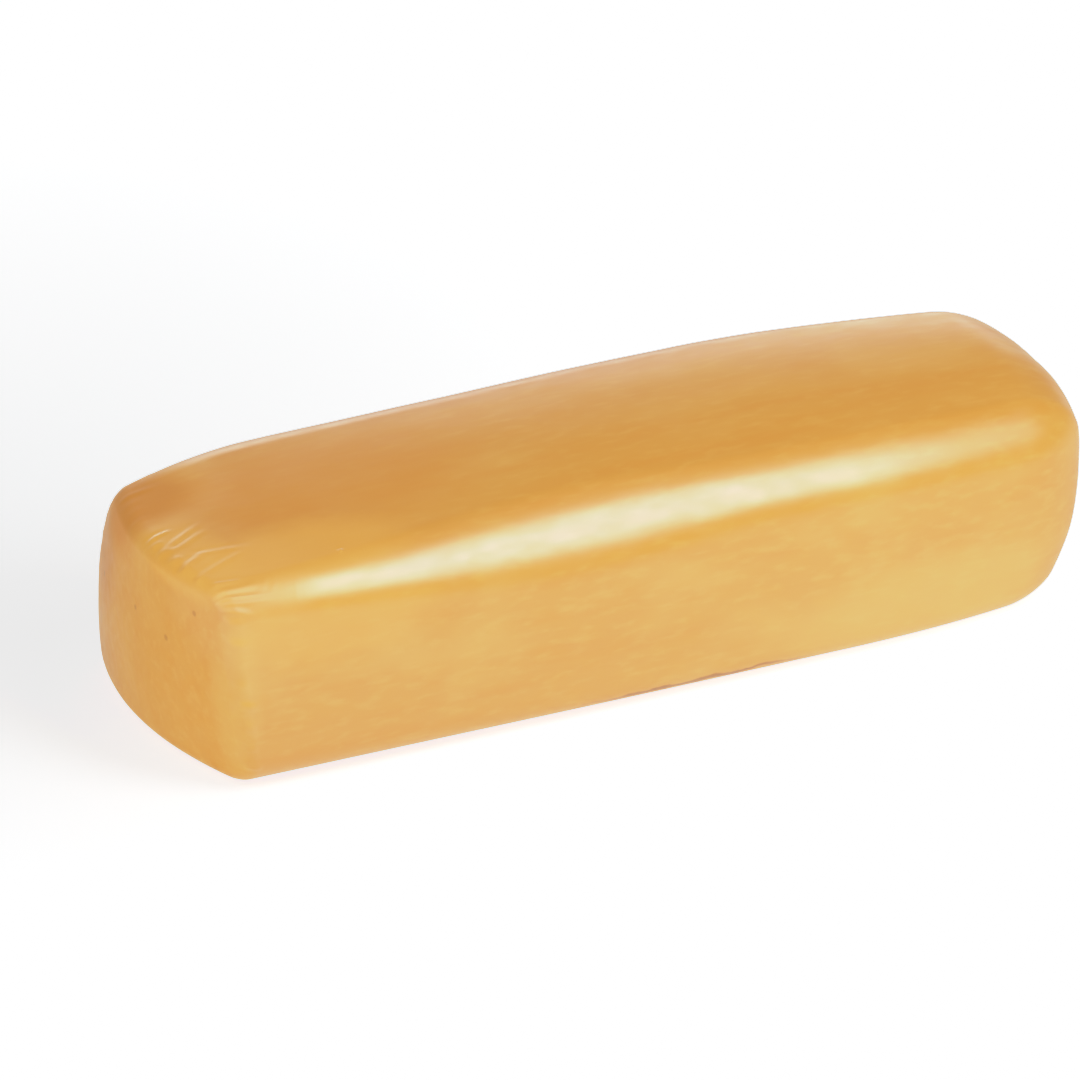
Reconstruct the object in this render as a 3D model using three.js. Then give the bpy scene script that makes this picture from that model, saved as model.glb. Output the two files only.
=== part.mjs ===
// A loaf of smoked scamorza: stretched curd pressed into a long block, smoked amber, whole and uncut.
// It is one solid piece. Its tight skin is gathered in small pleats round one end. The other end is rounder.
// Millimetres, +Z up. X runs along the loaf, with the pleated end at -X, and the loaf rests on its flat base.
// The origin is the middle of the base.
import * as THREE from "three";
import { mergeVertices } from "three/addons/utils/BufferGeometryUtils.js";

// Main sizes
const RIM_LENGTH = 300; // from the rim of one end face to the rim of the other
const WIDTH = 109; // across the middle, before the sides swell
const HEIGHT = 72.4; // at the middle, before the top swells
const SWELL = { front: 3.7, back: 3.4 }; // how far the sides stand proud along their middle
const CROWN = { pleated: 1.6, body: 5.9 }; // how far the top stands proud along its middle

// Radii of the long edges. The front top edge is tight at the pleated end and slackest a little before the middle
// of the loaf, at `slackest` on X. From `settled` on, it keeps one radius. The back one is slack all along.
const TOP_EDGE = { pleatedFront: 10, middleFront: 20, roundFront: 15.5, back: 21, slackest: -28, settled: 45 };
const BASE_EDGE = { pleated: 11, body: 9.2 };
const EDGE_EASES_OVER = 165; // the pleated end's base radius and crown ease into the body's over this length

// Each end: the radius of its rim, how far the front, the back and the top draw in towards it, and its face.
// A draw-in below zero is a rise.
// The draw-in starts at a share of the half length, measured from the middle of the loaf.
// The face bulges across (acrossBulge) and up and down (uprightBulge). It stands out more at the back than at
// the front (skew), at the top than at the base (lean), and unevenly from corner to corner (twist).
const PLEATED_END = {
  rim: 4.4,
  drawIn: { front: 0.5, back: 4.5, topFront: -0.6, topBack: 7.5 },
  drawInStarts: { front: 0.68, back: 0.68 },
  face: { acrossBulge: 11.6, uprightBulge: 2, skew: 0.5, lean: 0.3, twist: -4 },
};
const ROUND_END = {
  rim: 17.9,
  drawIn: { front: 7.6, back: 13.6, topFront: 4.2, topBack: 4.2 },
  drawInStarts: { front: 0.44, back: 0.29 },
  face: { acrossBulge: 6.6, uprightBulge: 6.1, skew: 3.6, lean: 4.1, twist: -2.2 },
};
const FACE_STARTS = 0.6; // the end face's form fades out by this share of the half length
const FACE_EASE = 1.5; // the power by which it grows from there to the end

// Pleats in the skin round the pleated end
const PLEAT_DEPTH = 0.8; // of the deepest
const PLEAT_LENGTH = 24; // of the longest, along the loaf
const PLEAT_LEAST = 0.4; // the least pleat's share of that depth and that length
const PLEAT_SEED = 7;

// Divisions of the surface
const ACROSS_STEPS = 24;
const UPRIGHT_STEPS = 16;
const PLEATED_RIM_STEPS = 4;
const PLEAT_STEPS = 8;
const BODY_STEPS = 16;
const ROUND_RIM_STEPS = 6;
const LENGTH_STEPS = PLEATED_RIM_STEPS + PLEAT_STEPS + BODY_STEPS + ROUND_RIM_STEPS;

const LEAST_CORNER = 0.5; // what is left of an edge's radius where the rim has rounded it away
const FLAT_SHARE = 0.4; // middle share of each face over which one edge's radius passes into the other's
const NEAR_ZERO = 1e-6;

const { clamp, lerp, seededRandom, smoothstep } = THREE.MathUtils;
const half = { length: RIM_LENGTH / 2, width: WIDTH / 2, height: HEIGHT / 2 };

const endAt = (x) => (x < 0 ? PLEATED_END : ROUND_END);

// The share from 0 to 1 by which a point at x has come from `start` to the end of the loaf
function shareToEnd(x, start) {
  return clamp((Math.abs(x) / half.length - start) / (1 - start), 0, 1);
}

// The share from 0 to 1 by which the pleated end's section has passed into the body's at x
const sharePastPleats = (x) => smoothstep(x + half.length, 0, EDGE_EASES_OVER);

// The front top edge's radius at x
function topFrontRadius(x) {
  const { pleatedFront, middleFront, roundFront, slackest, settled } = TOP_EDGE;
  const nearRadius = lerp(pleatedFront, middleFront, smoothstep(x, -half.length, slackest));
  return lerp(nearRadius, roundFront, smoothstep(x, slackest, settled));
}

// A rim's quarter round at a share from 0, on the end face, to 1, on the long faces
function rimStation(end, share) {
  const angle = ((1 - share) * Math.PI) / 2;
  const side = end === PLEATED_END ? -1 : 1;
  const fromEnd = end.rim * (1 - Math.sin(angle));
  return { x: side * (half.length - fromEnd), rounding: 1 - Math.cos(angle) };
}

// Where a cross-section, counted from the pleated end, lies along X, and how far the rim has rounded it
function stationAt(step) {
  const bodyStart = PLEATED_RIM_STEPS + PLEAT_STEPS;
  const bodyEnd = bodyStart + BODY_STEPS;
  const pleatedRimEnd = PLEATED_END.rim - half.length;
  const pleatsEnd = pleatedRimEnd + PLEAT_LENGTH;
  const roundRimStart = half.length - ROUND_END.rim;
  if (step <= PLEATED_RIM_STEPS) return rimStation(PLEATED_END, step / PLEATED_RIM_STEPS);
  if (step >= bodyEnd) return rimStation(ROUND_END, (LENGTH_STEPS - step) / ROUND_RIM_STEPS);
  if (step <= bodyStart) {
    return { x: lerp(pleatedRimEnd, pleatsEnd, (step - PLEATED_RIM_STEPS) / PLEAT_STEPS), rounding: 0 };
  }
  return { x: lerp(pleatsEnd, roundRimStart, (step - bodyStart) / BODY_STEPS), rounding: 0 };
}

// A point of the cross-section's outline, a rectangle with round corners, and the outward normal there.
// u and v run from -1 to 1 across and upwards, and one of them is -1 or 1.
function outlineAt(u, v, station) {
  const eased = sharePastPleats(station.x);
  const toBack = smoothstep(u, -FLAT_SHARE, FLAT_SHARE);
  const toTop = smoothstep(v, -FLAT_SHARE, FLAT_SHARE);
  const topRadius = lerp(topFrontRadius(station.x), TOP_EDGE.back, toBack);
  const baseRadius = lerp(BASE_EDGE.pleated, BASE_EDGE.body, eased);
  const radius = lerp(baseRadius, topRadius, toTop);
  const inset = Math.min(endAt(station.x).rim, radius - LEAST_CORNER) * station.rounding;
  const point = new THREE.Vector2(u * half.width, v * half.height);
  const reach = new THREE.Vector2(half.width - radius, half.height - radius);
  const core = point.clone().clamp(reach.clone().negate(), reach);
  const normal = point.clone().sub(core).normalize();
  return { point: core.addScaledVector(normal, radius - inset), normal };
}

// Swells the sides, crowns the top, draws them in towards the ends and bulges the end faces
function settle(x, y, z) {
  const u = y / half.width;
  const v = z / half.height;
  const end = endAt(x);
  const toFront = (1 - u) / 2;
  const toBack = (1 + u) / 2;
  const upper = Math.max(v, 0);
  const frontDrawn = shareToEnd(x, end.drawInStarts.front) ** 2;
  const backDrawn = shareToEnd(x, end.drawInStarts.back) ** 2;
  const { front, back, topFront, topBack } = end.drawIn;
  const swell = u < 0 ? SWELL.front : SWELL.back;
  const yDrawn = front * frontDrawn * toFront - back * backDrawn * toBack;
  const zDrawn = (topFront * toFront + topBack * toBack) * backDrawn;
  const yOut = y + yDrawn + swell * u * (1 - v * v);
  const crown = lerp(CROWN.pleated, CROWN.body, sharePastPleats(x));
  const zOut = z + (crown * (1 - u * u) - zDrawn) * upper;
  const { acrossBulge, uprightBulge, skew, lean, twist } = end.face;
  const bulge = acrossBulge * (1 - u * u) + uprightBulge * (1 - v * v);
  const faceOut = bulge + skew * u + lean * v + twist * u * v;
  const xOut = x + Math.sign(x) * faceOut * shareToEnd(x, FACE_STARTS) ** FACE_EASE;
  return new THREE.Vector3(xOut, yOut, zOut + half.height);
}

// How deep the skin is creased at x, on one of the lines that run along the loaf. Each second line is a
// crease, deepest where it comes over the rim, and no two are alike in length and depth.
function creaseDepth(x, line) {
  if (line % 2 === 0) return 0;
  const length = PLEAT_LENGTH * lerp(PLEAT_LEAST, 1, seededRandom(PLEAT_SEED + 2 * line));
  const depth = PLEAT_DEPTH * lerp(PLEAT_LEAST, 1, seededRandom(PLEAT_SEED + 2 * line + 1));
  const fromRim = x - (PLEATED_END.rim - half.length);
  return depth * (1 - smoothstep(fromRim, 0, length)) * smoothstep(fromRim, -PLEATED_END.rim, 0);
}

// Moves a point of a cube, 2 across, to its place on the loaf
function loafPoint(cube) {
  const spread = Math.max(Math.abs(cube.y), Math.abs(cube.z));
  const onEndFace = Math.abs(cube.x) > 1 - NEAR_ZERO;
  const share = onEndFace ? spread : 1; // 1 on the rim, less towards the middle of an end face
  const station = stationAt(Math.round(((cube.x + 1) / 2) * LENGTH_STEPS));
  if (share < NEAR_ZERO) return settle(station.x, 0, 0);
  const { point, normal } = outlineAt(cube.y / spread, cube.z / spread, station);
  const onBase = cube.z < NEAR_ZERO - 1;
  const acrossStep = Math.round(((cube.y + 1) / 2) * ACROSS_STEPS);
  const uprightStep = Math.round(((cube.z + 1) / 2) * UPRIGHT_STEPS);
  const crease = onEndFace || onBase ? 0 : creaseDepth(station.x, acrossStep + uprightStep);
  point.addScaledVector(normal, -crease).multiplyScalar(share);
  return settle(station.x, point.x, point.y);
}

function loafGeometry() {
  const cube = new THREE.BoxGeometry(2, 2, 2, LENGTH_STEPS, ACROSS_STEPS, UPRIGHT_STEPS);
  cube.deleteAttribute("normal");
  cube.deleteAttribute("uv");
  const loaf = mergeVertices(cube);
  const position = loaf.getAttribute("position");
  const vertex = new THREE.Vector3();
  for (let i = 0; i < position.count; i++) {
    vertex.fromBufferAttribute(position, i);
    position.setXYZ(i, ...loafPoint(vertex));
  }
  loaf.computeBoundingBox();
  const middle = loaf.boundingBox.getCenter(new THREE.Vector3());
  loaf.translate(-middle.x, -middle.y, -loaf.boundingBox.min.z);
  loaf.computeVertexNormals();
  return loaf;
}

const smokedSkin = new THREE.MeshStandardMaterial({ color: "#dca24f", roughness: 0.38, metalness: 0 });

const loaf = new THREE.Mesh(loafGeometry(), smokedSkin);
loaf.name = "scamorza_loaf";

const scamorza = new THREE.Group();
scamorza.add(loaf);

export default scamorza;
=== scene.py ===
"""A whole loaf of smoked scamorza and its plain stage, laid out as a Blender add-on."""
import math
import random
from typing import NamedTuple

import bmesh
import bpy
import numpy as np
from bpy.props import FloatProperty, FloatVectorProperty, PointerProperty
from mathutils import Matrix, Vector, noise


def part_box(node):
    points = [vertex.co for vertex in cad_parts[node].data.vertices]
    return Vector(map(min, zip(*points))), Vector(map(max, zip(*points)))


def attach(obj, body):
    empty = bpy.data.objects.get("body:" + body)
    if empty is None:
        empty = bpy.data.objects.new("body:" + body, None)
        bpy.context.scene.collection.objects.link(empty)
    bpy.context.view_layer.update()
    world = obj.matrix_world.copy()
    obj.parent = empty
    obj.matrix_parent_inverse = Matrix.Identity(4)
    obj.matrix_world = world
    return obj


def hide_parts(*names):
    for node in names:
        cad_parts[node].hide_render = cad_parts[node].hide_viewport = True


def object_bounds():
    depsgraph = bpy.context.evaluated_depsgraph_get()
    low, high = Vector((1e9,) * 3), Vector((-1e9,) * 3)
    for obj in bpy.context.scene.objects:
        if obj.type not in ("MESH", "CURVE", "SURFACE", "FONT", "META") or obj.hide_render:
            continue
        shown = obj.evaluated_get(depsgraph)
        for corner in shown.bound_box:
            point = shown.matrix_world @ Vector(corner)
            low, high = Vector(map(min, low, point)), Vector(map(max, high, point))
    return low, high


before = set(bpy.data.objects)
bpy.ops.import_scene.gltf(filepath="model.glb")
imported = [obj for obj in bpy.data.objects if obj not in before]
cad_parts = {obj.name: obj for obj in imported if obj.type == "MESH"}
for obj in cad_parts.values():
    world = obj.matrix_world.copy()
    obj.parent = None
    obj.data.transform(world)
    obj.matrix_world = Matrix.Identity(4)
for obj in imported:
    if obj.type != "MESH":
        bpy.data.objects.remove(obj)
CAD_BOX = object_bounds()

bl_info = {
    "name": "Smoked scamorza loaf",
    "version": (1, 0, 0),
    "blender": (4, 5, 0),
    "location": "View3D > Sidebar > Scamorza",
    "description": "Builds a whole loaf of smoked scamorza and the plain stage that it lies on",
    "category": "Add Mesh",
}

MM = 0.001
NEAR_ZERO = 1e-6
LOAF_NODE = "scamorza_loaf"
BODY = "root"

# The loaf's form in millimetres: X along it from the pleated end, Y from front to back, Z up.
RIM_LENGTH = 300.0  # from the rim of one end face to the rim of the other
WIDTH = 109.0  # across the middle, before the sides swell
HEIGHT = 72.4  # at the middle, before the top swells
SWELL_FRONT = 3.7  # how far the sides stand proud along their middle
SWELL_BACK = 3.4
CROWN_PLEATED = 1.6  # how far the top stands proud along its middle
CROWN_BODY = 5.9

# Radii of the long edges. The pleated end's ease into the body's.
# The front top edge is slackest a little before the middle. Once settled, it keeps one radius.
TOP_FRONT_PLEATED = 10.0
TOP_FRONT_MIDDLE = 20.0
TOP_FRONT_ROUND = 15.5
SLACKEST_AT = -28.0
SETTLED_AT = 45.0
TOP_BACK = 21.0
BASE_PLEATED = 11.0
BASE_BODY = 9.2
EDGE_EASES_OVER = 165.0  # the pleated end's base radius and crown ease into the body's over it
FLAT_SHARE = 0.4  # middle share of each face over which one edge's radius passes into the other's
LEAST_CORNER = 0.5  # what is left of an edge's radius where the rim has rounded it away


class End(NamedTuple):
    """One end of the loaf: its rim's radius, how far the faces draw in to it, and its own face.

    The draw-in starts at a share of the half length, measured from the middle of the loaf.
    The face bulges across, and up and down. It stands out more at the back (skew), more at the
    top (lean), and unevenly from corner to corner (twist).
    """

    rim: float
    front: float
    back: float
    top_front: float
    top_back: float
    front_starts: float
    back_starts: float
    across_bulge: float
    upright_bulge: float
    skew: float
    lean: float
    twist: float


PLEATED_END = End(
    rim=4.4,
    front=0.5,
    back=4.5,
    top_front=-0.6,
    top_back=7.5,
    front_starts=0.68,
    back_starts=0.68,
    across_bulge=11.6,
    upright_bulge=2.0,
    skew=0.5,
    lean=0.3,
    twist=-4.0,
)
ROUND_END = End(
    rim=17.9,
    front=7.6,
    back=13.6,
    top_front=4.2,
    top_back=4.2,
    front_starts=0.44,
    back_starts=0.29,
    across_bulge=6.6,
    upright_bulge=6.1,
    skew=3.6,
    lean=4.1,
    twist=-2.2,
)
FACE_STARTS = 0.6  # the end face's form fades out by this share of the half length
FACE_EASE = 1.5  # the power by which it grows from there to the end

# Cells of the surface along, across and upright. Along the loaf, the pleated end's rim, the zone
# of its pleats and the body each take a count of them, and the round end's rim takes the rest.
CELLS = (134, 90, 60)
RIM_CELLS = 8
PLEAT_CELLS = 34
BODY_CELLS = 80
PLEAT_ZONE = 40.0  # millimetres along the loaf
FINE_FROM = 0.85  # cells beyond this share of the way out to the rim are halved at the pleated end


class Fold(NamedTuple):
    """A fold of the skin: a ridge from its start to its end, in millimetres.

    Each of these two points is a girth and a reach. Girth is measured round the loaf from the
    front top edge: over the top it grows, down the front it falls. Reach is measured along the
    loaf from the edge of the end face.
    """

    start: tuple
    end: tuple
    height: float
    width: float


FOLDS = (
    Fold(start=(49.6, 4.6), end=(51.6, 10.5), height=0.4, width=1.1),
    Fold(start=(41.5, 7.0), end=(50.3, 18.5), height=0.2, width=1.3),
    Fold(start=(38.6, 9.0), end=(44.9, 18.0), height=0.2, width=1.3),
    Fold(start=(25.6, 5.2), end=(31.4, 13.6), height=0.4, width=1.4),
    Fold(start=(31.2, 11.0), end=(27.7, 24.5), height=0.16, width=1.4),
    Fold(start=(16.8, 5.0), end=(26.6, 23.0), height=0.25, width=1.3),
    Fold(start=(9.4, 6.0), end=(8.0, 13.5), height=0.3, width=1.2),
    Fold(start=(5.0, 4.5), end=(5.6, 18.5), height=0.2, width=1.4),
    Fold(start=(1.6, 3.4), end=(-0.8, 18.0), height=0.2, width=1.3),
    Fold(start=(-2.0, 3.4), end=(-3.4, 18.0), height=0.2, width=1.3),
    Fold(start=(-4.6, 2.8), end=(-8.4, 11.4), height=0.3, width=1.3),
    Fold(start=(-9.7, 2.8), end=(-10.4, 9.4), height=0.3, width=1.4),
    Fold(start=(-16.9, 2.4), end=(-17.9, 9.0), height=0.4, width=1.6),
    Fold(start=(6.0, 28.0), end=(-8.0, 24.7), height=0.1, width=0.8),
    Fold(start=(7.5, 22.0), end=(-0.6, 19.0), height=0.1, width=0.8),
    Fold(start=(7.5, 19.3), end=(0.8, 15.9), height=0.1, width=0.8),
    Fold(start=(12.6, 44.9), end=(12.6, 45.9), height=0.6, width=0.8),
)
FOLD_VALLEY = 0.45  # depth of the valley beside a fold, as a share of its height
FOLD_VALLEY_AT = 1.7  # its distance from the ridge, in widths of the fold
FOLD_RISES = (-0.3, 0.15)  # shares of its length between which a fold rises
FOLD_RUNS_OUT = (0.5, 1.15)  # and between which it runs out


class PuckerRow(NamedTuple):
    """A row of lesser folds across the rim of the pleated end, in millimetres.

    It lies between two girths, and its folds have a greatest length and a greatest height.
    """

    low: float
    high: float
    longest: float
    highest: float


PUCKER_ROWS = (
    PuckerRow(low=-66.0, high=-20.0, longest=5.5, highest=0.6),
    PuckerRow(low=12.0, high=56.0, longest=5.0, highest=0.3),
    PuckerRow(low=60.0, high=84.0, longest=6.0, highest=0.12),
    PuckerRow(low=84.0, high=172.0, longest=17.0, highest=0.4),
)
PUCKER_SPACING = 7.7
PUCKER_SEED = 7
PUCKER_PLACES = (0.3, 0.7)  # shares of the spacing
PUCKER_REACHES = (3.0, 4.5)
PUCKER_LENGTHS = (0.6, 1.0)  # shares of the longest
PUCKER_SLANTS = (-0.3, 0.5)  # shares of the fold's own length
PUCKER_HEIGHTS = (0.5, 1.0)  # shares of the highest
PUCKER_WIDTHS = (1.3, 2.0)

# The faces' slight dents and the smaller ripples in them: how far across they are in millimetres,
# and the ripples' share of the dents' depth.
DENT_WAVE = 45.0
RIPPLE_WAVE = 14.0
RIPPLE_SHARE = 0.35
NOISE_STEP = Vector((17.3, 5.1, 9.7))  # takes each layer of noise from another place
RELIEF_RISES = (2.0, 9.0)  # heights above the base between which the relief sets in


def ease(value, low, high):
    """0 below low, 1 above high, and a smooth step between them."""
    share = np.clip((value - low) / (high - low), 0.0, 1.0)
    return share * share * (3.0 - 2.0 * share)


def past_pleats(x):
    """The share by which the pleated end's section has passed into the body's at x."""
    return ease(x + RIM_LENGTH / 2, 0.0, EDGE_EASES_OVER)


def stations(share):
    """Gives each share of the cells along the loaf its place on X, its rounding and its reach."""
    near_arc = PLEATED_END.rim * math.pi / 2
    far_arc = ROUND_END.rim * math.pi / 2
    straight = RIM_LENGTH - PLEATED_END.rim - ROUND_END.rim
    total = near_arc + straight + far_arc
    counts = np.cumsum((0, RIM_CELLS, PLEAT_CELLS, BODY_CELLS)).tolist() + [CELLS[0]]
    marks = (0.0, near_arc, near_arc + PLEAT_ZONE, near_arc + straight, total)
    reach = np.interp(share * CELLS[0], counts, marks)
    near = np.clip(reach / PLEATED_END.rim, 0.0, math.pi / 2)
    far = np.clip((total - reach) / ROUND_END.rim, 0.0, math.pi / 2)
    run = np.clip(reach - near_arc, 0.0, straight)
    x = PLEATED_END.rim * (1 - np.cos(near)) + run + ROUND_END.rim * np.cos(far) - RIM_LENGTH / 2
    return x, 2 - np.sin(near) - np.sin(far), reach


def settle(x, y, z):
    """Swells the sides, crowns the top, draws them in towards the ends and bulges the end faces."""
    u = y / (WIDTH / 2)
    v = z / (HEIGHT / 2)

    def end(name):
        return np.where(x < 0, getattr(PLEATED_END, name), getattr(ROUND_END, name))

    def share_to_end(start):
        return np.clip((np.abs(x) / (RIM_LENGTH / 2) - start) / (1 - start), 0.0, 1.0)

    to_front = (1 - u) / 2
    to_back = (1 + u) / 2
    upper = np.maximum(v, 0.0)
    front_drawn = share_to_end(end("front_starts")) ** 2
    back_drawn = share_to_end(end("back_starts")) ** 2
    swell = np.where(u < 0, SWELL_FRONT, SWELL_BACK)
    drawn = end("front") * front_drawn * to_front - end("back") * back_drawn * to_back
    drop = (end("top_front") * to_front + end("top_back") * to_back) * back_drawn
    crown = CROWN_PLEATED + (CROWN_BODY - CROWN_PLEATED) * past_pleats(x)
    bulge = end("across_bulge") * (1 - u * u) + end("upright_bulge") * (1 - v * v)
    face = bulge + end("skew") * u + end("lean") * v + end("twist") * u * v
    return np.column_stack((
        x + np.sign(x) * face * share_to_end(FACE_STARTS) ** FACE_EASE,
        y + drawn + swell * u * (1 - v * v),
        z + (crown * (1 - u * u) - drop) * upper,
    ))


def loaf_form(cube):
    """Moves points of a cube, 2 across, onto the loaf.

    Gives each point's place, its girth and its reach, and whether it is on the base.
    """
    along, across, upright = cube.T
    spread = np.maximum(np.maximum(np.abs(across), np.abs(upright)), NEAR_ZERO)
    on_face = np.abs(along) > 1 - NEAR_ZERO
    share = np.where(on_face, spread, 1.0)
    u = across / spread
    v = upright / spread
    x, rounding, reach = stations((along + 1) / 2)
    to_back = ease(u, -FLAT_SHARE, FLAT_SHARE)
    to_top = ease(v, -FLAT_SHARE, FLAT_SHARE)
    to_slackest = ease(x, -RIM_LENGTH / 2, SLACKEST_AT)
    front = TOP_FRONT_PLEATED + (TOP_FRONT_MIDDLE - TOP_FRONT_PLEATED) * to_slackest
    front += (TOP_FRONT_ROUND - front) * ease(x, SLACKEST_AT, SETTLED_AT)
    top = front + (TOP_BACK - front) * to_back
    base = BASE_PLEATED + (BASE_BODY - BASE_PLEATED) * past_pleats(x)
    radius = base + (top - base) * to_top
    rim = np.where(x < 0, PLEATED_END.rim, ROUND_END.rim)
    inset = np.minimum(rim, radius - LEAST_CORNER) * rounding
    outline = np.column_stack((u * WIDTH / 2, v * HEIGHT / 2))
    limit = np.column_stack((WIDTH / 2 - radius, HEIGHT / 2 - radius))
    core = np.clip(outline, -limit, limit)
    normal = outline - core
    normal /= np.maximum(np.linalg.norm(normal, axis=1, keepdims=True), NEAR_ZERO)
    y, z = ((core + (radius - inset)[:, None] * normal) * share[:, None]).T
    beside = np.where(u < 0, (v - 1) * HEIGHT / 2, WIDTH + (1 - v) * HEIGHT / 2)
    girth = np.where(np.abs(upright) >= np.abs(across), (u + 1) * WIDTH / 2, beside)
    on_base = (v < 0) & (np.abs(v) > np.abs(u) - NEAR_ZERO) & ~on_face
    inward = np.where(on_face & (along < 0), (share - 1) * HEIGHT / 2, reach)
    return settle(x, y, z), girth, inward, on_base


def wander(points, wave, layer):
    """Smooth noise from about -1 to 1 at each point, with dents about one wave across."""
    shift = NOISE_STEP * layer
    return np.array([noise.noise(Vector(point) / wave + shift) for point in points])


def rim_puckers():
    """Lesser folds all round the rim of the pleated end, but for the base."""
    dice = random.Random(PUCKER_SEED)
    for row in PUCKER_ROWS:
        for index in range(int((row.high - row.low) / PUCKER_SPACING)):
            girth = row.low + (index + dice.uniform(*PUCKER_PLACES)) * PUCKER_SPACING
            reach = dice.uniform(*PUCKER_REACHES)
            length = dice.uniform(*PUCKER_LENGTHS) * row.longest
            yield Fold(
                start=(girth, reach),
                end=(girth + dice.uniform(*PUCKER_SLANTS) * length, reach + length),
                height=dice.uniform(*PUCKER_HEIGHTS) * row.highest,
                width=dice.uniform(*PUCKER_WIDTHS),
            )


def fold_relief(girth, reach, fold):
    """How high a fold stands: a ridge with a shallow valley along one side, run out at its end."""
    run = np.subtract(fold.end, fold.start)
    length = math.hypot(*run)
    off = (girth - fold.start[0], reach - fold.start[1])
    along = (off[0] * run[0] + off[1] * run[1]) / length ** 2
    across = (off[0] * run[1] - off[1] * run[0]) / (length * fold.width)
    profile = np.exp(-(across ** 2)) - FOLD_VALLEY * np.exp(-((across - FOLD_VALLEY_AT) ** 2))
    return fold.height * profile * ease(along, *FOLD_RISES) * (1 - ease(along, *FOLD_RUNS_OUT))


def skin_relief(points, girth, reach, on_base, sizes):
    """How far the skin stands out at each point, in metres. The base stays flat."""
    folds = sum(fold_relief(girth, reach, fold) for fold in (*FOLDS, *rim_puckers()))
    dents = wander(points, DENT_WAVE, 1) + RIPPLE_SHARE * wander(points, RIPPLE_WAVE, 2)
    relief = folds * sizes.pleats * MM + sizes.dents * dents
    return relief * np.where(on_base, 0.0, ease(points[:, 2], *RELIEF_RISES))


def cut_cells(bm):
    """Cuts a cube, 2 across, into the cells of the surface."""
    for axis, count in enumerate(CELLS):
        along = []
        for edge in bm.edges:
            start, end = edge.verts
            if abs(start.co[axis] - end.co[axis]) > 1:
                along.append(edge)
        bmesh.ops.subdivide_edges(bm, edges=along, cuts=count - 1, use_grid_fill=True)
    pleats_end = 2 * (RIM_CELLS + PLEAT_CELLS) / CELLS[0] - 1

    def is_fine(vert):
        return vert.co.x < pleats_end + NEAR_ZERO and max(abs(vert.co.y), vert.co.z) > FINE_FROM

    fine = [edge for edge in bm.edges if all(is_fine(vert) for vert in edge.verts)]
    bmesh.ops.subdivide_edges(bm, edges=fine, cuts=1, use_grid_fill=True)


def fitted(form, sizes):
    """The form brought to the loaf's sizes, in the place of its node in the frame."""
    low, high = (np.array(corner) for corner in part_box(LOAF_NODE))
    spans = np.array((sizes.length, sizes.width, sizes.height))
    middle = (form.max(axis=0) + form.min(axis=0)) / 2
    scale = spans / (form.max(axis=0) - form.min(axis=0))
    return (form - middle) * scale + (low + high) / 2


def move_points(bm, points):
    """Moves each vertex to its point."""
    for vert, point in zip(bm.verts, points):
        vert.co = point


def linear(hex_colour):
    """An sRGB hex colour as linear red, green and blue."""
    parts = [int(hex_colour[i : i + 2], 16) / 255 for i in (1, 3, 5)]
    return tuple(p / 12.92 if p <= 0.04045 else ((p + 0.055) / 1.055) ** 2.4 for p in parts)


class LoafSizes(bpy.types.PropertyGroup):
    """Sizes of the loaf and of its relief."""

    length: FloatProperty(
        name="Length",
        description="From end to end of the loaf",
        default=CAD_BOX[1][0] - CAD_BOX[0][0],
        unit="LENGTH",
    )
    width: FloatProperty(
        name="Width",
        description="From the front to the back of the loaf",
        default=CAD_BOX[1][1] - CAD_BOX[0][1],
        unit="LENGTH",
    )
    height: FloatProperty(
        name="Height",
        description="From the base to the top of the loaf",
        default=CAD_BOX[1][2] - CAD_BOX[0][2],
        unit="LENGTH",
    )
    pleats: FloatProperty(
        name="Pleats",
        description="Share of the pleats' full height",
        default=1.0,
        min=0.0,
        max=2.0,
        subtype="FACTOR",
    )
    dents: FloatProperty(
        name="Dents",
        description="How far the faces wander from an even form",
        default=0.0002,
        min=0.0,
        unit="LENGTH",
    )


class SkinLook(bpy.types.PropertyGroup):
    """Colours and gloss of the smoked skin."""

    amber: FloatVectorProperty(
        name="Amber",
        description="Main colour of the skin",
        default=linear("#d7983a"),
        subtype="COLOR",
    )
    # The curd's own pale streaks. The same colour is also painted light: a painted highlight down
    # the pleated end's front rim and a painted reflection low on the front.
    pale_curd_and_painted_sheen: FloatVectorProperty(
        name="Pale amber",
        description="Colour where the curd shows through the skin",
        default=linear("#e2af57"),
        subtype="COLOR",
    )
    # Painted light: the colour of lighter patches on the pleated end's rim and by its front top
    # corner, where light falls more strongly.
    painted_light_gold: FloatVectorProperty(
        name="Gold",
        description="Colour where the skin is stretched thin over the rim",
        default=linear("#ebad49"),
        subtype="COLOR",
    )
    honey: FloatVectorProperty(
        name="Honey",
        description="Deeper colour of the long streaks",
        default=linear("#d58c28"),
        subtype="COLOR",
    )
    # The smoke patches at the pleated end. The same colour is also painted shade: darker along the
    # back top edge, which faces away from the lights.
    smoke_and_painted_shade: FloatVectorProperty(
        name="Smoke brown",
        description="Colour where the smoke has settled most",
        default=linear("#cb8420"),
        subtype="COLOR",
    )
    # The soot specks. The same colour is also painted shade: a dark line along the front of the
    # base, where it meets the floor.
    soot_and_painted_shade: FloatVectorProperty(
        name="Scorch",
        description="Colour of the specks and of the brown line along the base",
        default=linear("#884711"),
        subtype="COLOR",
    )
    gloss: FloatProperty(
        name="Gloss",
        description="Strength of the skin's mirroring",
        default=1.0,
        min=0.0,
        max=1.0,
        subtype="FACTOR",
    )


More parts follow.
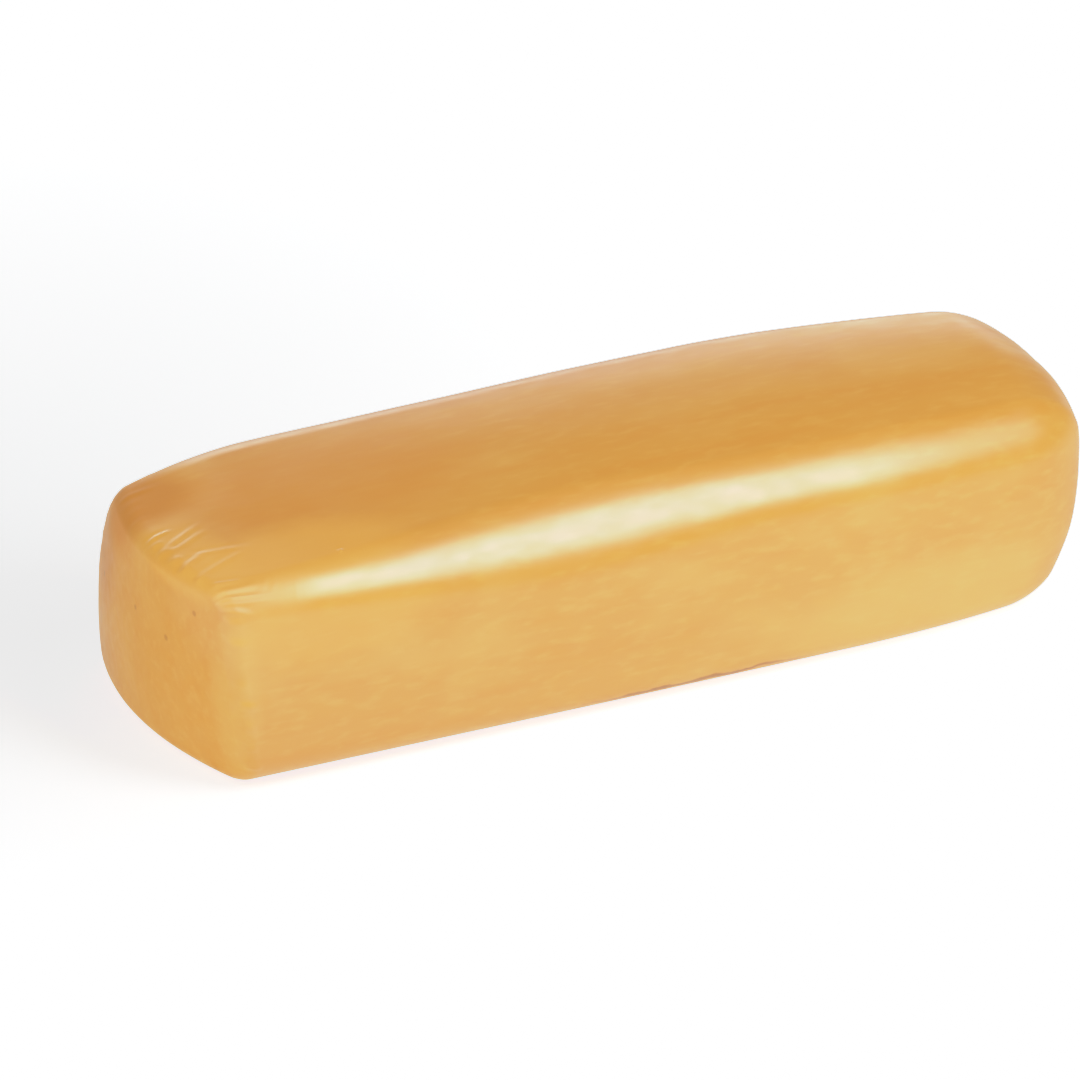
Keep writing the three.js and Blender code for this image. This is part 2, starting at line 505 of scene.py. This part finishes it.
class StageLook(bpy.types.PropertyGroup):
    """Colour of the floor and strength of the lights."""

    floor: FloatVectorProperty(
        name="Floor",
        description="Colour of the floor, apart from the white light that comes up through it",
        default=linear("#b4b6b8"),
        subtype="COLOR",
    )
    glow: FloatProperty(
        name="Floor glow",
        description="Strength of the light that comes up through the floor",
        default=1.36,
        min=0.0,
    )
    # A painted shadow: the floor's glow is dimmed behind the pleated end.
    shade: FloatProperty(
        name="Floor shade",
        description="Strength of that light where it is dimmest, behind the pleated end",
        default=0.94,
        min=0.0,
    )
    key: FloatProperty(
        name="Key light",
        description="Power of the oval softbox over the front edge",
        default=6.0,
        min=0.0,
        unit="POWER",
    )
    fill: FloatProperty(
        name="Fill lights",
        description="Share of the fill lights' full power",
        default=1.0,
        min=0.0,
        max=2.0,
        subtype="FACTOR",
    )
    horizon: FloatProperty(
        name="Horizon",
        description="Strength of what the skin mirrors from near the floor, on the bright side",
        default=2.5,
        min=0.0,
    )
    room: FloatProperty(
        name="Room",
        description="Strength of what the skin mirrors from the rest of the room",
        default=0.24,
        min=0.0,
    )
    below: FloatProperty(
        name="Low reflection",
        description="Strength of what the skin mirrors from below the level of the floor",
        default=0.74,
        min=0.0,
    )


class CurdLayer(NamedTuple):
    """Streaks of another colour in the stretched curd, with their length and width in millimetres.

    A noise shows them, from its least value on, up to their share of colour at its full one.
    """

    colour: str
    length: float
    width: float
    least: float
    full: float
    share: float


CURD_LAYERS = (
    CurdLayer("honey", length=80.0, width=7.0, least=0.42, full=0.72, share=0.34),
    CurdLayer("pale_curd_and_painted_sheen", length=45.0, width=28.0, least=0.45, full=0.75, share=0.35),
    CurdLayer("pale_curd_and_painted_sheen", length=9.0, width=3.0, least=0.45, full=0.8, share=0.35),
)


class Bloom(NamedTuple):
    """A soft patch of colour on the skin: its middle and half widths in mm, and its share."""

    colour: str
    middle: tuple
    half_widths: tuple
    share: float


# Some patches are the skin's own colour. Others are painted light or painted shade, as marked.
BLOOMS = (
    Bloom("honey", middle=(-100, -4, 76), half_widths=(70, 46, 16), share=0.6),
    # Painted light: lighter gold on the pleated end's rim and by its front top corner.
    Bloom("painted_light_gold", middle=(-155, -24, 72), half_widths=(20, 38, 10), share=0.6),
    Bloom("painted_light_gold", middle=(-122, -38, 73), half_widths=(50, 25, 14), share=0.65),
    Bloom("painted_light_gold", middle=(-118, -56, 57), half_widths=(50, 10, 20), share=0.35),
    Bloom("smoke_and_painted_shade", middle=(-153, 22, 68), half_widths=(27, 27, 18), share=1.0),
    Bloom("smoke_and_painted_shade", middle=(-160, 34, 50), half_widths=(14, 20, 26), share=0.6),
    # Painted highlight down the rounded upright rim at the pleated end's front.
    Bloom("pale_curd_and_painted_sheen", middle=(-150, -53, 34), half_widths=(10, 12, 40), share=0.4),
    # Painted shade: darker along the back top edge, which faces away from the lights.
    Bloom("smoke_and_painted_shade", middle=(0, 46, 70), half_widths=(165, 26, 18), share=0.85),
    # Painted reflection: paler low on the front, standing in for the floor's reflection.
    Bloom("pale_curd_and_painted_sheen", middle=(100, -58, 14), half_widths=(80, 14, 26), share=0.5),
    # Painted shade: a dark line along the front of the base, where it meets the floor.
    Bloom("soot_and_painted_shade", middle=(12, -54, 4.4), half_widths=(50, 6, 1.3), share=0.6),
    Bloom("soot_and_painted_shade", middle=(-159, 34, 39), half_widths=(1.4, 1.4, 1.4), share=0.4),
    Bloom("soot_and_painted_shade", middle=(-164, -3, 46), half_widths=(1.4, 1.4, 1.4), share=0.35),
    Bloom("soot_and_painted_shade", middle=(-162, -24, 45), half_widths=(1.5, 1.5, 1.5), share=0.35),
    Bloom("soot_and_painted_shade", middle=(-159, -40, 61), half_widths=(1.4, 1.4, 1.4), share=0.35),
)
BLOOM_STRAY = 5.0  # millimetres by which the patches' edges wander
STRAY_WAVE = 9.0  # millimetres from one turn of an edge to the next
PATCH_FULL = 0.6  # the depth at which a patch has its full effect: 0 is its edge, 1 its middle


class DullPatch(NamedTuple):
    """A soft patch of scattered gloss: its middle and half widths in mm, and its roughness."""

    middle: tuple
    half_widths: tuple
    roughness: float


# The skin is crumpled at the pleated end's front corner, and dulled by smoke at its back corner.
DULL_PATCHES = (
    DullPatch(middle=(-147, -48, 68), half_widths=(30, 36, 30), roughness=0.52),
    DullPatch(middle=(-151, 24, 68), half_widths=(34, 30, 20), roughness=0.62),
)

# Elsewhere the gloss breaks up over slight waves of the pressed skin, sized in millimetres.
WAVE_LENGTH = 9.0
WAVE_WIDTH = 4.0
WAVE_HEIGHT = 0.25
WAVE_STRENGTH = 0.15
WAVE_NOISE = (0.3, 0.7)  # values of the noise between which the roughness goes from least to most
WAVE_ROUGHNESS = (0.29, 0.36)


def add_node(tree, kind, links=None, **settings):
    """Adds a node with its settings.

    Each link fills an input from another node's socket, or with a constant.
    """
    node = tree.nodes.new(kind)
    for name, value in settings.items():
        setattr(node, name, value)
    for name, source in (links or {}).items():
        if isinstance(source, bpy.types.NodeSocket):
            tree.links.new(source, node.inputs[name])
        else:
            node.inputs[name].default_value = source
    return node


def start_material(name):
    """A new material, its empty tree of nodes, and the socket for a point's place on its piece."""
    material = bpy.data.materials.new(name)
    material.use_nodes = True
    tree = material.node_tree
    tree.nodes.clear()
    return material, tree, add_node(tree, "ShaderNodeTexCoord").outputs["Object"]


def metres(sizes):
    """Sizes in millimetres as metres."""
    return [size * MM for size in sizes]


def streaked(length, width):
    """The scale of a pattern along the loaf, from one streak's length and width in millimetres."""
    return (1 / (length * MM), 1 / (width * MM), 1 / (width * MM))


def patch_depth(tree, place, middle, half_widths):
    """The socket for how deep a place lies in a soft patch: 0 at its edge, 1 at its middle."""
    around = add_node(
        tree,
        "ShaderNodeMapping",
        {"Vector": place, "Location": middle, "Scale": half_widths},
        vector_type="TEXTURE",
    )
    inside = add_node(
        tree,
        "ShaderNodeTexGradient",
        {"Vector": around.outputs[0]},
        gradient_type="SPHERICAL",
    )
    return inside.outputs["Fac"]


# Smoked stretched-curd rind, pressed smooth and tight: satin amber, with a soft gloss, cloudy
# lengthwise streaks from the stretching, a browner bloom where the smoke settled, and a few specks.
# Painted light is laid in too: lighter gold at the pleated end's front top, a painted highlight
# down its front rim, a painted reflection low on the front, and painted shade along the back top
# edge and along the front of the base.
def smoked_rind(look):
    material, tree, place = start_material("smoked_curd_rind_pressed")
    tints = []
    for layer in CURD_LAYERS:
        grain = add_node(
            tree,
            "ShaderNodeMapping",
            {"Vector": place, "Scale": streaked(layer.length, layer.width)},
        )
        streak = add_node(
            tree,
            "ShaderNodeTexNoise",
            {"Vector": grain.outputs[0], "Scale": 1.0, "Detail": 3.0},
        )
        shown = add_node(
            tree,
            "ShaderNodeMapRange",
            {
                "Value": streak.outputs["Fac"],
                "From Min": layer.least,
                "From Max": layer.full,
                "To Max": layer.share,
            },
            interpolation_type="SMOOTHSTEP",
        )
        tints.append((layer.colour, shown.outputs[0]))

    # The patches' edges are ragged, but the specks keep theirs clean.
    stray = add_node(
        tree,
        "ShaderNodeTexNoise",
        {"Vector": place, "Scale": 1 / (STRAY_WAVE * MM), "Detail": 3.0},
    )
    centred = add_node(
        tree,
        "ShaderNodeVectorMath",
        {0: stray.outputs["Color"], 1: (0.5, 0.5, 0.5)},
        operation="SUBTRACT",
    )
    strayed = add_node(
        tree,
        "ShaderNodeVectorMath",
        {0: centred.outputs[0], 1: (BLOOM_STRAY * MM,) * 3, 2: place},
        operation="MULTIPLY_ADD",
    )
    for bloom in BLOOMS:
        is_speck = max(bloom.half_widths) < BLOOM_STRAY
        edge = place if is_speck else strayed.outputs[0]
        depth = patch_depth(tree, edge, metres(bloom.middle), metres(bloom.half_widths))
        shown = add_node(
            tree,
            "ShaderNodeMapRange",
            {"Value": depth, "From Max": PATCH_FULL, "To Max": bloom.share},
            interpolation_type="SMOOTHSTEP",
        )
        tints.append((bloom.colour, shown.outputs[0]))

    colour = (*look.amber, 1.0)
    for name, share in tints:
        tint = (*getattr(look, name), 1.0)
        mixed = add_node(tree, "ShaderNodeMix", {0: share, 6: colour, 7: tint}, data_type="RGBA")
        colour = mixed.outputs[2]

    waves = add_node(
        tree,
        "ShaderNodeMapping",
        {"Vector": place, "Scale": streaked(WAVE_LENGTH, WAVE_WIDTH)},
    )
    wave = add_node(
        tree,
        "ShaderNodeTexNoise",
        {"Vector": waves.outputs[0], "Scale": 1.0, "Detail": 1.0},
    )
    bump = add_node(
        tree,
        "ShaderNodeBump",
        {"Height": wave.outputs["Fac"], "Strength": WAVE_STRENGTH, "Distance": WAVE_HEIGHT * MM},
    )
    dull = add_node(
        tree,
        "ShaderNodeMapRange",
        {
            "Value": wave.outputs["Fac"],
            "From Min": WAVE_NOISE[0],
            "From Max": WAVE_NOISE[1],
            "To Min": WAVE_ROUGHNESS[0],
            "To Max": WAVE_ROUGHNESS[1],
        },
    )
    for patch in DULL_PATCHES:
        depth = patch_depth(tree, place, metres(patch.middle), metres(patch.half_widths))
        dull = add_node(
            tree,
            "ShaderNodeMapRange",
            {
                "Value": depth,
                "From Max": PATCH_FULL,
                "To Min": dull.outputs[0],
                "To Max": patch.roughness,
            },
            interpolation_type="SMOOTHSTEP",
        )
    skin = add_node(
        tree,
        "ShaderNodeBsdfPrincipled",
        {
            "Base Color": colour,
            "Roughness": dull.outputs[0],
            "Diffuse Roughness": 0.25,
            "IOR": 1.5,
            "Specular IOR Level": look.gloss,
            "Normal": bump.outputs[0],
        },
    )
    add_node(tree, "ShaderNodeOutputMaterial", {"Surface": skin.outputs[0]})
    return material


class SCAMORZA_OT_build_loaf(bpy.types.Operator):
    """Build the loaf with its pleated end and its smoked skin"""

    bl_idname = "scamorza.build_loaf"
    bl_label = "Build Loaf"

    def execute(self, context):
        sizes = context.scene.scamorza_sizes
        bm = bmesh.new()
        bmesh.ops.create_cube(bm, size=2)
        cut_cells(bm)
        form, girth, reach, on_base = loaf_form(np.array([vert.co for vert in bm.verts]))
        form = fitted(form, sizes)
        move_points(bm, form)
        bm.normal_update()
        normals = np.array([vert.normal for vert in bm.verts])
        relief = skin_relief(form / MM, girth, reach, on_base, sizes)
        move_points(bm, form + relief[:, None] * normals)
        bmesh.ops.recalc_face_normals(bm, faces=bm.faces)
        for face in bm.faces:
            face.smooth = True
        mesh = bpy.data.meshes.new("loaf")
        bm.to_mesh(mesh)
        bm.free()
        mesh.materials.append(smoked_rind(context.scene.scamorza_skin))
        loaf = bpy.data.objects.new("loaf", mesh)
        context.scene.collection.objects.link(loaf)
        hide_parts(LOAF_NODE)
        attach(loaf, BODY)
        return {"FINISHED"}


# The camera stands where the photograph was taken from, in degrees and metres.
# Its lens and sensor are in millimetres.
CAMERA_AZIMUTH = -24.812
CAMERA_ELEVATION = 28.854
CAMERA_DISTANCE = 4.083
CAMERA_LENS = 415.3
CAMERA_SENSOR = 36.0
CAMERA_ORBIT = Vector((0.0, 0.00015, 0.0))
CAMERA_AIM_RIGHT = -0.01776
CAMERA_AIM_UP = 0.02819

# The floor is a disc, in metres.
FLOOR_RADIUS = 5.0
FLOOR_SIDES = 96
FLOOR_GAP = 0.0002  # it lies just below the base, so that the two faces don't mix

# Painted shadow on the floor: where its glow is dimmest, behind the pleated end, and how far
# from there it is full, in metres.
SHADE_MIDDLE = (-0.18, 0.1, 0.0)
SHADE_REACH = 0.38

# The key hangs over the front edge, so that its reflection runs along that edge.
KEY_PLACE = (0.29, -0.503, 0.744)
KEY_AIM = (0.035, -0.055, 0.068)
KEY_SIZE = (0.36, 0.76)


class Fill(NamedTuple):
    """A rectangular softbox that fills in the shadows.

    Its place, aim and size are in metres, and its watts are its full power.
    """

    name: str
    place: tuple
    aim: tuple
    size: tuple
    watts: float
    mirrored: bool = True


FILLS = (
    Fill("far", place=(0.547, -0.368, 0.657), aim=KEY_AIM, size=(0.3, 0.6), watts=0.75),
    Fill("over", place=(0.0, 0.0, 1.8), aim=(0.0, 0.0, 0.0), size=(1.5, 1.5), watts=1.7),
    Fill("left", place=(-1.2, -0.35, 0.35), aim=(-0.1, 0.0, 0.04), size=(0.7, 0.6), watts=4.5),
    Fill(
        "back",
        place=(0.1, 1.4, 0.16),
        aim=(0.0, 0.0, 0.04),
        size=(1.6, 0.3),
        watts=4.2,
        mirrored=False,
    ),
    Fill("high_left", place=(-0.8, -0.55, 1.27), aim=(0.0, 0.0, 0.05), size=(0.9, 0.9), watts=8.8),
)

# The room that the skin mirrors. Each pair gives the two ends of a soft change.
LEVEL = (-0.05, 0.05)  # upwards, from what is below the level of the floor to what is above it
LOW_SIDES = (-0.45, 0.35)  # along the loaf, from the least strength below that level to the most
LOW_LEAST = 0.16  # the least strength there, on the pleated end's side
BRIGHT_SIDE = (0.32, 0.95, 0.0)  # where the room is bright near the floor, as by a low window
BRIGHT_NEAR = (0.92, 0.98)  # cosines of the angle to it, from the room's strength to the bright one
BRIGHT_UP = (0.16, 0.46)  # upwards, from the bright strength back to the room's

# How light is shown: pairs of the light and what is shown for it. Strong light rolls off softly,
# as on film, and the strongest, which only the floor gives, is clean white.
TONE_REACH = 2.0
TONE = (
    (0.0, 0.0),
    (0.62, 0.62),
    (0.78, 0.735),
    (0.95, 0.8),
    (1.15, 0.81),
    (1.3, 0.835),
    (1.45, 0.93),
    (1.58, 1.0),
    (2.0, 1.0),
)


# Opal acrylic sheet, matt and lit from below: a white ground that takes a soft shadow.
# Its glow is dimmer behind the pleated end: a painted shadow.
def opal_acrylic(look):
    material, tree, place = start_material("opal_acrylic_matt")
    # The glow is dimmed towards a painted shadow behind the pleated end.
    depth = patch_depth(tree, place, SHADE_MIDDLE, (SHADE_REACH,) * 3)
    light = add_node(
        tree,
        "ShaderNodeMapRange",
        {"Value": depth, "To Min": look.glow, "To Max": look.shade},
    )
    sheet = add_node(
        tree,
        "ShaderNodeBsdfPrincipled",
        {
            "Base Color": (*look.floor, 1.0),
            "Roughness": 0.9,
            "Specular IOR Level": 0.1,
            "Emission Color": (1.0, 1.0, 1.0, 1.0),
            "Emission Strength": light.outputs[0],
        },
    )
    add_node(tree, "ShaderNodeOutputMaterial", {"Surface": sheet.outputs[0]})
    material.cycles.emission_sampling = "NONE"
    return material


def lay_floor(scene, look):
    """Lays a wide floor just below the loaf."""
    bm = bmesh.new()
    bmesh.ops.create_circle(bm, cap_ends=True, segments=FLOOR_SIDES, radius=FLOOR_RADIUS)
    bmesh.ops.translate(bm, verts=bm.verts, vec=(0.0, 0.0, -FLOOR_GAP))
    mesh = bpy.data.meshes.new("floor")
    bm.to_mesh(mesh)
    bm.free()
    mesh.materials.append(opal_acrylic(look))
    floor = bpy.data.objects.new("floor", mesh)
    scene.collection.objects.link(floor)
    floor.visible_glossy = False  # not mirrored in the skin, as through a polarising filter


def add_softbox(scene, name, shape, place, aim, size, power, mirrored=True):
    """A flat area light, with its two sizes in metres, that faces the point aimed at."""
    lamp = bpy.data.lights.new(name, "AREA")
    lamp.shape = shape
    lamp.size, lamp.size_y = size
    lamp.energy = power
    box = bpy.data.objects.new(name, lamp)
    box.location = place
    box.rotation_euler = (Vector(place) - Vector(aim)).to_track_quat("Z", "Y").to_euler()
    box.visible_glossy = mirrored
    scene.collection.objects.link(box)


def mirrored_room(look):
    """A world for the skin to mirror: dim, bright near the floor on one side and lighter below it.
    """
    world = bpy.data.worlds.new("studio")
    world.use_nodes = True
    tree = world.node_tree
    towards = add_node(tree, "ShaderNodeTexCoord").outputs["Generated"]
    direction = add_node(tree, "ShaderNodeSeparateXYZ", {"Vector": towards}).outputs
    nearness = add_node(
        tree,
        "ShaderNodeVectorMath",
        {0: towards, 1: BRIGHT_SIDE},
        operation="DOT_PRODUCT",
    )
    low = add_node(
        tree,
        "ShaderNodeMapRange",
        {
            "Value": direction["X"],
            "From Min": LOW_SIDES[0],
            "From Max": LOW_SIDES[1],
            "To Min": LOW_LEAST,
            "To Max": look.below,
        },
    )
    side = add_node(
        tree,
        "ShaderNodeMapRange",
        {
            "Value": nearness.outputs["Value"],
            "From Min": BRIGHT_NEAR[0],
            "From Max": BRIGHT_NEAR[1],
            "To Min": look.room,
            "To Max": look.horizon,
        },
    )
    above = add_node(
        tree,
        "ShaderNodeMapRange",
        {
            "Value": direction["Z"],
            "From Min": BRIGHT_UP[0],
            "From Max": BRIGHT_UP[1],
            "To Min": side.outputs[0],
            "To Max": look.room,
        },
        interpolation_type="SMOOTHSTEP",
    )
    strength = add_node(
        tree,
        "ShaderNodeMapRange",
        {
            "Value": direction["Z"],
            "From Min": LEVEL[0],
            "From Max": LEVEL[1],
            "To Min": low.outputs[0],
            "To Max": above.outputs[0],
        },
    )
    background = tree.nodes["Background"].inputs
    background["Color"].default_value = (1.0, 1.0, 1.0, 1.0)
    tree.links.new(strength.outputs[0], background["Strength"])
    return world


def stand_camera(scene):
    """Stands the camera on its orbit round the loaf and aims it."""
    azimuth = math.radians(CAMERA_AZIMUTH)
    elevation = math.radians(CAMERA_ELEVATION)
    right = Vector((math.cos(azimuth), math.sin(azimuth), 0.0))
    level = Vector((math.sin(azimuth), -math.cos(azimuth), 0.0))
    back = level * math.cos(elevation) + Vector((0.0, 0.0, math.sin(elevation)))
    up = back.cross(right)
    aim = CAMERA_ORBIT + right * CAMERA_AIM_RIGHT + up * CAMERA_AIM_UP
    lens = bpy.data.cameras.new("camera")
    lens.lens = CAMERA_LENS
    lens.sensor_width = CAMERA_SENSOR
    camera = bpy.data.objects.new("camera", lens)
    camera.location = CAMERA_ORBIT + back * CAMERA_DISTANCE
    camera.rotation_euler = (camera.location - aim).to_track_quat("Z", "Y").to_euler()
    scene.collection.objects.link(camera)
    scene.camera = camera


def roll_off(view):
    """Sets the view's curve to the tone."""
    view.view_transform = "Standard"
    view.use_curve_mapping = True
    mapping = view.curve_mapping
    mapping.white_level = (TONE_REACH,) * 3
    points = mapping.curves[3].points
    points[0].location = TONE[0]
    points[1].location = (1.0, TONE[-1][1])
    for light, shown in TONE[1:-1]:
        points.new(light / TONE_REACH, shown)
    for point in points:
        point.handle_type = "VECTOR"
    mapping.update()


class SCAMORZA_OT_build_stage(bpy.types.Operator):
    """Lay the floor, set the soft lights and place the camera"""

    bl_idname = "scamorza.build_stage"
    bl_label = "Build Stage"

    def execute(self, context):
        scene = context.scene
        look = scene.scamorza_stage
        lay_floor(scene, look)
        add_softbox(scene, "key", "ELLIPSE", KEY_PLACE, KEY_AIM, KEY_SIZE, look.key)
        for fill in FILLS:
            power = fill.watts * look.fill
            add_softbox(
                scene, fill.name, "RECTANGLE", fill.place, fill.aim, fill.size, power, fill.mirrored
            )
        scene.world = mirrored_room(look)
        scene.world.cycles_visibility.diffuse = False  # mirrored, but gives no light of its own
        stand_camera(scene)
        roll_off(scene.view_settings)
        return {"FINISHED"}


class SCAMORZA_PT_sidebar(bpy.types.Panel):
    """Sizes, looks and operators of the loaf"""

    bl_idname = "SCAMORZA_PT_sidebar"
    bl_label = "Smoked Scamorza"
    bl_space_type = "VIEW_3D"
    bl_region_type = "UI"
    bl_category = "Scamorza"

    def draw(self, context):
        scene = context.scene
        for group in (scene.scamorza_sizes, scene.scamorza_skin, scene.scamorza_stage):
            column = self.layout.column()
            for name in group.__annotations__:
                column.prop(group, name)
        self.layout.operator(SCAMORZA_OT_build_loaf.bl_idname)
        self.layout.operator(SCAMORZA_OT_build_stage.bl_idname)


CLASSES = (
    LoafSizes,
    SkinLook,
    StageLook,
    SCAMORZA_OT_build_loaf,
    SCAMORZA_OT_build_stage,
    SCAMORZA_PT_sidebar,
)


def register():
    for cls in CLASSES:
        bpy.utils.register_class(cls)
    bpy.types.Scene.scamorza_sizes = PointerProperty(type=LoafSizes)
    bpy.types.Scene.scamorza_skin = PointerProperty(type=SkinLook)
    bpy.types.Scene.scamorza_stage = PointerProperty(type=StageLook)


def unregister():
    del bpy.types.Scene.scamorza_stage
    del bpy.types.Scene.scamorza_skin
    del bpy.types.Scene.scamorza_sizes
    for cls in reversed(CLASSES):
        bpy.utils.unregister_class(cls)


def main():
    register()
    bpy.ops.scamorza.build_loaf()
    bpy.ops.scamorza.build_stage()


if __name__ == "__main__":
    main()
